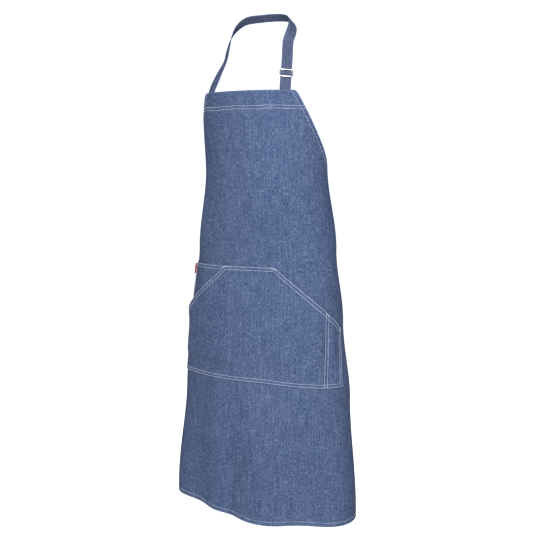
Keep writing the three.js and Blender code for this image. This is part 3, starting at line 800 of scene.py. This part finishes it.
class Stitches:
    """Collects short threads laid on the cloth, and makes them into one mesh."""

    def __init__(self):
        self.points, self.faces, self.uvs = [], [], []
        self.count = 0

    def add(self, centres, normals, radius):
        """centres and normals are (stitches, rings, 3): the line of each thread."""
        stitches, rings = centres.shape[:2]
        directions = np.gradient(centres, axis=1)
        directions /= np.linalg.norm(directions, axis=2, keepdims=True)
        sideways = np.cross(directions, normals)
        turns = 2 * np.pi * np.arange(STITCH_SIDES) / STITCH_SIDES
        radii = (radius * STITCH_SWELL)[None, :, None, None]
        spokes = (np.cos(turns)[None, None, :, None] * sideways[:, :, None]
                  + np.sin(turns)[None, None, :, None] * normals[:, :, None])
        points = centres[:, :, None] + radii * spokes
        length = np.linalg.norm(centres[:, -1] - centres[:, 0], axis=1)
        along = (np.arange(stitches)[:, None] + np.linspace(0, 1, rings)[None, :]) * length[:, None]
        around = np.broadcast_to(turns * radius, (stitches, rings, STITCH_SIDES))
        along = np.broadcast_to(along[:, :, None], around.shape)
        self.uvs.append(np.stack([around, along], -1).reshape(-1, 2))
        self.points.append(points.reshape(-1, 3))
        for stitch in range(stitches):
            first = self.count + stitch * rings * STITCH_SIDES
            for ring in range(rings - 1):
                for side in range(STITCH_SIDES):
                    beside = (side + 1) % STITCH_SIDES
                    here = first + ring * STITCH_SIDES
                    self.faces.append((here + side, here + STITCH_SIDES + side,
                                       here + STITCH_SIDES + beside, here + beside))
            last = first + (rings - 1) * STITCH_SIDES
            self.faces.append(tuple(range(first, first + STITCH_SIDES)))
            self.faces.append(tuple(range(last + STITCH_SIDES - 1, last - 1, -1)))
        self.count += stitches * rings * STITCH_SIDES

    def row(self, line, lift, side=1, pitch=STITCH_PITCH, radius=THREAD_RADIUS):
        """Stitches along a line of pattern places. lift gives the face that they lie on,
        and side is 1 on the outside of the cloth and -1 on the inside."""
        line = np.asarray(line, float)
        lengths = lengths_along(line)
        count = max(1, int(lengths[-1] / pitch))
        shares = np.linspace(-0.5, 0.5, len(STITCH_RISE)) * STITCH_SHARE
        places = (np.arange(count)[:, None] + 0.5 + shares[None, :]) * lengths[-1] / count
        across = np.interp(places, lengths, line[:, 0])
        drop = np.interp(places, lengths, line[:, 1])
        rise = side * radius * STITCH_RISE[None, :]
        centres, normals = drape(across, drop, lift(across, drop) + rise)
        self.add(centres, normals, radius)

    def bartack(self, across, drop, along, lift, length=0.009, width=0.0022):
        """A close zigzag bar of thread, `along` being its direction on the pattern."""
        along = np.asarray(along, float) / np.linalg.norm(along)
        square = np.array([-along[1], along[0]])
        turns = int(length / 0.0008)
        for turn in range(turns):
            middle = np.array([across, drop]) + along * length * ((turn + 0.5) / turns - 0.5)
            lean = along * 0.0005 * (1 if turn % 2 else -1)
            ends = [middle - square * width / 2 - lean, middle + square * width / 2 + lean]
            self.row(ends, lift, pitch=width, radius=THREAD_RADIUS * 1.05)

    def finish(self, name):
        piece = make_mesh(name, np.concatenate(self.points), self.faces, np.concatenate(self.uvs), [THREAD])
        bend_at_waist(piece)
        return piece


def apron_face(across, drop):
    return apron_layers(across, drop)[0]


def apron_inside(across, drop):
    outer, thick, _, _ = apron_layers(across, drop)
    return outer - thick


def pocket_face(across, drop):
    return pocket_layers(across, drop)[0]


def patch_face(across, drop):
    return patch_layers(across, drop)[0]


def unsteady(values, pitch, depth):
    """A sewn row is never quite straight."""
    turns = values * 2 * np.pi / pitch
    return depth * (np.sin(turns) + 0.5 * np.sin(turns / 0.37 + 1))


def stitch_top_rows():
    rows = Stitches()
    for shift in (0, ROW_SPACING):
        drop = TOP_ROW + shift
        reach = float(inset_across(np.array(drop), 0.0015))
        across = np.linspace(-reach, reach, 120)
        line = np.stack([across, drop + unsteady(across, 0.085, 0.0006)], axis=1)
        rows.row(line, apron_face)
        rows.row(line, apron_inside, side=-1)
    return rows.finish("bib_top_stitching")


def stitch_hems():
    """One row inside the edge down each armhole and side, and along the bottom."""
    rows = Stitches()
    drops = np.concatenate([spread(0.002, 0.300, 0.003), spread(0.306, APRON_LENGTH - 0.004, 0.006)])
    side_across = inset_across(drops, EDGE_ROW) + unsteady(drops, 0.120, 0.00025)
    bottom_across = spread(-APRON_HALF_WIDTH + 0.004, APRON_HALF_WIDTH - 0.004, 0.006)
    bottom_drop = APRON_LENGTH - EDGE_ROW + unsteady(bottom_across, 0.150, 0.00030)
    lines = [np.stack([side * side_across, drops], axis=1) for side in (-1, 1)]
    lines.append(np.stack([bottom_across, bottom_drop], axis=1))
    for line in lines:
        rows.row(line, apron_face, radius=FINE_THREAD_RADIUS)
        rows.row(line, apron_inside, side=-1, radius=FINE_THREAD_RADIUS)
    return rows.finish("hem_stitching")


def down_line(across, drops):
    """A line straight down the pattern, as (across, drop) points."""
    return np.stack([np.full(len(drops), across), drops], axis=1)


def pocket_outline(inset):
    """The pocket's edge, moved in square to itself: up one side, over the top, and down."""
    shrink = inset / POCKET_HALF_WIDTH
    side = POCKET_HALF_WIDTH - inset
    columns = np.concatenate([
        spread(-side, -0.060, 0.004), spread(-0.0585, 0.0585, 0.0029), spread(0.060, side, 0.004),
    ])
    top = np.stack([columns, pocket_top_at(columns) + inset * slant_stretch(columns)], axis=1)
    bottom = POCKET_BOTTOM_DROP - inset * (1 - shrink)
    down = spread(top[0][1], bottom, 0.005)[1:]
    left = down_line(-side, down[::-1])
    right = down_line(side, down)
    level = spread(-side, side, 0.005)
    floor = np.stack([level, np.full(len(level), bottom)], axis=1)
    return [left, top, right, floor]


def stitch_pocket():
    rows = Stitches()
    for inset in (POCKET_ROW, POCKET_ROW + ROW_SPACING):
        for line in pocket_outline(inset):
            rows.row(line, pocket_face)
    for shift in (0, ROW_SPACING):
        across = DIVIDER_ACROSS + shift
        drops = spread(float(pocket_top_at(across)) + 0.002, POCKET_BOTTOM_DROP - POCKET_ROW, 0.005)
        rows.row(down_line(across, drops), pocket_face)
    for side in (-1, 1):
        rows.bartack(side * POCKET_TOP_HALF_WIDTH, POCKET_TOP_DROP + 0.0035,
                     (side * 1.0, 0.35), pocket_face, 0.013)
        end = side * (POCKET_HALF_WIDTH - 0.004)
        rows.bartack(end, float(pocket_top_at(end)) + 0.004, (0.25 * side, 1.0), pocket_face, 0.012)
    rows.bartack(DIVIDER_ACROSS + ROW_SPACING / 2, float(pocket_top_at(DIVIDER_ACROSS)) + 0.006,
                 (1.0, 0.8), pocket_face, 0.010)
    return rows.finish("main_pocket_stitching")


def stitch_patch():
    rows = Stitches()
    for inset in (POCKET_ROW, POCKET_ROW + ROW_SPACING):
        across = spread(PATCH_OUTER_EDGE + POCKET_ROW, PATCH_INNER_EDGE - POCKET_ROW, 0.005)
        rows.row(np.stack([across, np.full(len(across), PATCH_TOP_DROP + inset)], axis=1), patch_face)
        drops = spread(PATCH_TOP_DROP + 0.012, PATCH_BOTTOM_DROP - 0.003, 0.005)
        rows.row(down_line(PATCH_OUTER_EDGE + inset, drops), patch_face)
    rows.bartack(PATCH_OUTER_EDGE + 0.005, PATCH_TOP_DROP + 0.0035, (1.0, 0.2), patch_face)
    return rows.finish("patch_pocket_stitching")


# ---- Neck strap and slide buckle ---------------------------------------------------

LEG_LENGTH = 0.1151
LEG_TOP = Vector((0.0695, -0.0830, -0.0625))


def strap_seat(side, drop=0.0, lift=STRAP_LIFT):
    """The middle of the strap where it is sewn in behind the bib's top edge."""
    points, normals = drape([side * STRAP_SEAT], [drop], [lift])
    return Vector(points[0]), Vector(normals[0])


LEFT_SEAT, SEAT_FACING = strap_seat(1)
LEG_DIRECTION = (LEG_TOP - LEFT_SEAT).normalized()
LEG_FACING = (SEAT_FACING - LEG_DIRECTION * SEAT_FACING.dot(LEG_DIRECTION)).normalized()
LEG_SIDEWAYS = LEG_FACING.cross(LEG_DIRECTION)


def beside_leg(up, outward=0.0):
    return LEFT_SEAT + LEG_DIRECTION * up + LEG_FACING * outward


def neck_strap():
    """One webbing, from its sewn end behind the bib's left corner, up the straight leg
    that the buckle slides on, round the nape and down to the right corner."""
    sewn_left = [strap_seat(1, drop) for drop in (STRAP_SEWN_LENGTH, 0.014)]
    leg = [(beside_leg(up), LEG_FACING) for up in (0.0, 0.020, 0.045, 0.075, LEG_LENGTH)]
    loop = [
        ((0.0698, -0.0733, -0.0478), (0.62, -0.62, 0.44)),
        ((0.067, -0.058, -0.031), (0.80, -0.34, 0.46)),
        ((0.055, -0.037, -0.015), (0.72, 0.20, 0.64)),
        ((0.030, -0.010, -0.004), (0.38, 0.53, 0.76)),
        ((0.000, 0.0005, 0.0007), (0.00, 0.60, 0.80)),
        ((-0.030, -0.009, -0.001), (-0.35, 0.50, 0.79)),
        ((-0.054, -0.038, -0.009), (-0.75, 0.15, 0.64)),
        ((-0.066, -0.060, -0.027), (-0.90, -0.30, 0.30)),
        ((-0.071, -0.074, -0.048), (-0.80, -0.60, 0.10)),
        ((-0.071, -0.088, -0.074), (-0.62, -0.78, 0.00)),
        ((-0.070, -0.101, -0.098), (-0.60, -0.80, 0.00)),
        ((-0.078, -0.118, -0.131), (-0.50, -0.86, 0.00)),
    ]
    sewn_right = [strap_seat(-1, drop) for drop in (0.0, 0.014, STRAP_SEWN_LENGTH)]
    stations = sewn_left + leg + loop + sewn_right
    piece = ribbon("neck_strap_webbing", stations, 330, STRAP_DENIM)
    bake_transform(piece)
    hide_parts("neck_strap", "strap_end_left", "strap_end_right")
    webbing_length(stations)
    return piece


def webbing_length(stations):
    path, _ = catmull_rom([point for point, _ in stations], 400)
    return float(np.sum(np.linalg.norm(np.diff(path, axis=0), axis=1)))


def strap_return():
    """The layer behind the leg that is sewn round the buckle's middle bar."""
    bar = BUCKLE_UP_STRAP
    wrap = BUCKLE_WIRE / 2 + STRAP_THICK / 2
    behind = -RETURN_SPACING - wrap
    stations = [(beside_leg(0.0080, -0.0034), LEG_FACING), (beside_leg(0.014, -0.0052), LEG_FACING)]
    stations += [(beside_leg(up, behind), LEG_FACING) for up in (0.024, bar - 0.004)]
    for turn in (0, 45, 90, 135, 180):
        angle = math.radians(turn)
        outward = -math.cos(angle)
        up = math.sin(angle)
        facing = -(LEG_FACING * outward + LEG_DIRECTION * up)
        stations.append((beside_leg(bar + wrap * up, -RETURN_SPACING + wrap * outward), facing))
    stations.append((beside_leg(bar - 0.004, -RETURN_SPACING + wrap), -LEG_FACING))
    stations.append((beside_leg(bar - 0.016, -RETURN_SPACING + wrap * 0.8), -LEG_FACING))
    piece = ribbon("strap_return_webbing", stations, 110, STRAP_DENIM)
    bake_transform(piece)
    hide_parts("strap_return")
    webbing_length(stations)
    return piece


def strap_turn():
    """The strap's other end and its keeper, sewn in behind the left seat."""
    lift = STRAP_LIFT - STRAP_THICK - 0.0002
    stations = [strap_seat(1, drop, lift) for drop in (STRAP_SEWN_LENGTH, 0.014, 0.006)]
    piece = ribbon("strap_turn_webbing", stations, 16, STRAP_DENIM)
    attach(piece, "bib")
    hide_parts("strap_turn_left", "strap_keeper")
    return piece


def rounded_loop(width, height, radius, corner_steps=6):
    """Points once round a rectangle with round corners, on its centre line."""
    points = []
    for number, (x_side, y_side) in enumerate(((1, -1), (1, 1), (-1, 1), (-1, -1))):
        centre = (x_side * (width / 2 - radius), y_side * (height / 2 - radius))
        for step in range(corner_steps + 1):
            turn = math.radians(90 * (number - 1 + step / corner_steps))
            points.append((centre[0] + radius * math.cos(turn), centre[1] + radius * math.sin(turn)))
    return points


def slide_buckle():
    """A wire frame in front of the strap, and a middle bar behind it on two cheeks."""
    wire = BUCKLE_WIRE / 2
    front = 0.0026
    parts = [tube([(x, y, front) for x, y in rounded_loop(
        BUCKLE_WIDTH - 2 * wire, BUCKLE_HEIGHT - 2 * wire, 0.0032)], wire, closed=True)]
    half = BUCKLE_WIDTH / 2 - wire
    bend = 0.0016
    corner = 0.3 * bend
    cheek = [(half, front), (half, bend - RETURN_SPACING),
             (half - corner, corner - RETURN_SPACING), (half - bend, -RETURN_SPACING)]
    bar = [(-across, 0, out) for across, out in cheek] + [(0, 0, -RETURN_SPACING)]
    bar += [(across, 0, out) for across, out in reversed(cheek)]
    parts.append(tube(bar, wire))
    points, faces = [], []
    for part_points, part_faces in parts:
        faces += [tuple(index + len(points) for index in face) for face in part_faces]
        points += part_points
    placed = Matrix((-LEG_SIDEWAYS, LEG_DIRECTION, LEG_FACING)).transposed().to_4x4()
    placed.translation = beside_leg(BUCKLE_UP_STRAP)
    points = [placed @ Vector(point) for point in points]
    piece = make_mesh("buckle_wire", points, faces, [(point.x, point.z) for point in points], [NICKEL])
    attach(piece, "buckle")
    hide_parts("slide_buckle")
    return piece


# ---- Waist ties --------------------------------------------------------------------

def back_centre():
    """Half of the way round the form at the ties, from centre front to centre back."""
    half_width, half_depth = form_at(np.array([TIE_DROP]))
    turns = (GAUSS_POINTS + 1) * np.pi / 2
    speeds = np.hypot(half_width[0] * np.cos(turns), half_depth[0] * np.sin(turns))
    return float(np.pi / 2 * (speeds @ GAUSS_WEIGHTS))


BACK_CENTRE = back_centre()
KNOT_CENTRE = Vector((0.0, 0.0562, -0.4520))
KNOT_HALF = (0.0125, 0.0092, 0.0115)
KNOT_WEAR = 0.35
TIE_OVERLAP = 0.024


def waist_tie(word, side):
    """A tie sewn behind the side edge, which runs round to the knot at the back."""
    start, end = APRON_HALF_WIDTH - TIE_OVERLAP, BACK_CENTRE - KNOT_HALF[0] + 0.003
    across = np.linspace(start, end, 16)
    out = smoothstep(across, APRON_HALF_WIDTH - 0.004, end)
    lift = -0.0034 + out * 0.0068
    gather = 1 - smoothstep(across, end - 0.030, end)
    drop = TIE_DROP + 0.0015 * np.sin((across - start) * 40) * gather
    points, normals = drape(side * across, drop, lift)
    stations = [(point, normal) for point, normal in zip(points, normals)]
    piece = ribbon(f"waist_tie_{word}_webbing", stations, 90, STRAP_DENIM)
    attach(piece, "bib")
    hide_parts(f"waist_tie_{word}")
    webbing_length(stations)
    return piece


def tie_patch_stitching():
    """A sewn box with a cross where each tie is fastened behind the side edge."""
    rows = Stitches()
    near_edge, far_edge = APRON_HALF_WIDTH - 0.004, APRON_HALF_WIDTH - TIE_OVERLAP + 0.002
    top, bottom = TIE_DROP - 0.0085, TIE_DROP + 0.0085
    for side in (-1, 1):
        corners = [(side * near_edge, top), (side * near_edge, bottom),
                   (side * far_edge, bottom), (side * far_edge, top)]
        for first, last in ((0, 1), (1, 2), (2, 3), (3, 0), (0, 2), (1, 3)):
            rows.row([corners[first], corners[last]], apron_face, pitch=0.0034)
    return rows.finish("tie_box_stitching")


def bow_knot():
    """The tie's last wrap, pulled tight round the knot, with pinched folds."""
    points, uvs = [], []
    rings, sides = 28, 40
    for ring in range(rings):
        along = ring / (rings - 1) * 2 - 1
        swell = math.sqrt(max(0.0, 1 - abs(along) ** 3.2)) * (1 - 0.10 * math.cos(along * 9))
        for side in range(sides):
            turn = 2 * math.pi * side / sides
            crease = 1 + 0.045 * math.sin(3 * turn + 5 * along)
            crease += 0.030 * math.sin(7 * along + 2 * turn + 1)
            points.append((
                KNOT_CENTRE.x + KNOT_HALF[0] * along * (1 + 0.04 * math.sin(turn * 2)),
                KNOT_CENTRE.y + KNOT_HALF[1] * (0.12 + 0.88 * swell) * crease * math.cos(turn),
                KNOT_CENTRE.z + KNOT_HALF[2] * (0.12 + 0.88 * swell) * crease * math.sin(turn),
            ))
            uvs.append((along * KNOT_HALF[0], turn * KNOT_HALF[2]))
    seams = [KNOT_WEAR] * len(points)
    piece = make_mesh("bow_knot_webbing", points, ring_faces(rings, sides), uvs, [STRAP_DENIM], seams=seams)
    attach(piece, "bib")
    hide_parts("bow_knot")
    return piece


def bow_loop(word, side):
    """One loop of the bow: out flat against the back, round, and back to the knot."""
    droop = math.tan(math.radians(8))
    y_near, y_far = KNOT_CENTRE.y + 0.0030, KNOT_CENTRE.y + 0.0150
    places = (
        (0.006, y_near, -1.0, 0.0), (0.024, y_near - 0.001, -1.0, 0.0), (0.050, y_near, -1.0, 0.05),
        (0.072, y_near + 0.001, -0.9, 0.3), (0.083, (y_near + y_far) / 2, 0.0, 1.0),
        (0.072, y_far, 0.9, 0.3), (0.050, y_far + 0.001, 1.0, 0.05), (0.026, y_far - 0.002, 1.0, 0.0),
        (0.010, y_near + 0.005, 1.0, 0.0), (0.004, y_near + 0.002, 1.0, 0.0),
    )
    stations = []
    for out, y, facing_y, facing_x in places:
        point = (side * out, y, KNOT_CENTRE.z - droop * out)
        stations.append((point, (side * facing_x, facing_y, 0.12)))
    piece = ribbon(f"bow_loop_{word}_webbing", stations, 120, STRAP_DENIM, width=STRAP_WIDTH * 0.96)
    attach(piece, "bib")
    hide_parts(f"bow_loop_{word}")
    webbing_length(stations)
    return piece


def tie_tail(word, side):
    """A free end of the tie, hanging from the knot."""
    top = Vector((side * 0.0130, 0.0497, -0.4645))
    stations = [
        ((side * 0.0060, top.y + 0.0030, top.z + 0.0080), (0, 1, 0)),
        ((top.x, top.y, top.z - 0.004), (side * 0.05, 1, 0)),
        ((side * 0.0155, top.y - 0.0015, top.z - 0.33 * TAIL_LENGTH), (side * 0.25, 1, 0)),
        ((side * 0.0185, top.y + 0.0020, top.z - 0.68 * TAIL_LENGTH), (side * 0.10, 1, 0)),
        ((side * 0.0130, top.y, top.z - TAIL_LENGTH), (side * 0.22, 1, 0)),
    ]
    piece = ribbon(f"tie_tail_{word}_webbing", stations, 130, STRAP_DENIM)
    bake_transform(piece)
    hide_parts(f"tie_tail_{word}")
    webbing_length(stations)
    return piece


# ---- Studio ------------------------------------------------------------------------

CAMERA_AZIMUTH = 27.0
CAMERA_PITCH = 6.0
CAMERA_DISTANCE = 2.080
CAMERA_HEIGHT = -0.329
CAMERA_LENS = 63.5
CAMERA_SHIFT = 0.0063
FLOOR_BELOW_HEM = 0.40
FLOOR_GLOW = 0.90
WORLD_LIGHT = 0.29
WORLD_SEEN = 1.25
# Each light's name, azimuth and elevation in degrees, distance and size in metres, and watts.
LIGHTS = (("key", 26, 24, 3.0, 1.4, 126), ("fill", -50, 12, 3.2, 2.0, 5), ("back", 207, 32, 3.0, 1.0, 80))


def add_camera():
    turn = math.radians(CAMERA_AZIMUTH)
    data = bpy.data.cameras.new("camera")
    data.lens = CAMERA_LENS
    data.clip_end = 60
    data.shift_x = CAMERA_SHIFT
    camera = bpy.data.objects.new("camera", data)
    camera.location = (
        CAMERA_DISTANCE * math.sin(turn),
        -FORM_AXIS_AHEAD_OF_NAPE - CAMERA_DISTANCE * math.cos(turn),
        CAMERA_HEIGHT,
    )
    camera.rotation_euler = (math.radians(90 - CAMERA_PITCH), 0, turn)
    bpy.context.scene.collection.objects.link(camera)
    bpy.context.scene.camera = camera


def add_area_light(name, azimuth, elevation, distance, size, power):
    """A soft square light aimed at the apron's middle. Azimuth 0 is straight in front."""
    turn, rise = math.radians(azimuth), math.radians(elevation)
    data = bpy.data.lights.new(name, "AREA")
    data.energy = power
    data.size = size
    light = bpy.data.objects.new(name, data)
    aim = Vector((0, -FORM_AXIS_AHEAD_OF_NAPE, z_at(APRON_LENGTH / 2)))
    toward = Vector((math.sin(turn) * math.cos(rise), -math.cos(turn) * math.cos(rise), math.sin(rise)))
    light.location = aim + toward * distance
    light.rotation_euler = toward.to_track_quat("Z", "Y").to_euler()
    bpy.context.scene.collection.objects.link(light)


def add_studio():
    scene = bpy.context.scene
    scene.view_settings.view_transform = "Standard"
    world = bpy.data.worlds.new("studio")
    world.use_nodes = True
    tree = world.node_tree
    seen = add_node(tree, "ShaderNodeLightPath").outputs["Is Camera Ray"]
    strength = weighted_sum(tree, WORLD_LIGHT, [(seen, WORLD_SEEN - WORLD_LIGHT)])
    tree.links.new(strength, tree.nodes["Background"].inputs["Strength"])
    tree.nodes["Background"].inputs["Color"].default_value = (0.86, 0.95, 1.10, 1.0)
    scene.world = world
    bpy.ops.mesh.primitive_plane_add(size=24, location=(0, 0, z_at(APRON_LENGTH) - FLOOR_BELOW_HEM))
    floor = bpy.context.object
    floor.name = "floor"
    material, tree, shader = new_material("pale_floor")
    place = add_node(tree, "ShaderNodeTexCoord").outputs["Object"]
    speckle = add_node(tree, "ShaderNodeTexNoise", {"Vector": place, "Scale": 6.0, "Detail": 5.0})
    colour = colour_ramp(tree, speckle.outputs[0], [(0.3, (0.58, 0.58, 0.58)), (0.7, (0.61, 0.61, 0.61))])
    tree.links.new(colour, shader.inputs["Base Color"])
    shader.inputs["Emission Color"].default_value = (1.0, 1.0, 1.0, 1.0)
    seen = add_node(tree, "ShaderNodeLightPath").outputs["Is Camera Ray"]
    tree.links.new(math_node(tree, "MULTIPLY", seen, FLOOR_GLOW), shader.inputs["Emission Strength"])
    shader.inputs["Roughness"].default_value = 0.9
    floor.data.materials.append(material)
    for light in LIGHTS:
        add_area_light(*light)


add_camera()
add_studio()
apron_cloth()
main_pocket()
patch_pocket()
side_tab()
neck_strap()
strap_turn()
strap_return()
slide_buckle()
for word, side in (("left", 1), ("right", -1)):
    waist_tie(word, side)
    bow_loop(word, side)
    tie_tail(word, side)
bow_knot()
for stitching in (stitch_top_rows(), stitch_hems(), stitch_pocket(), stitch_patch(), tie_patch_stitching()):
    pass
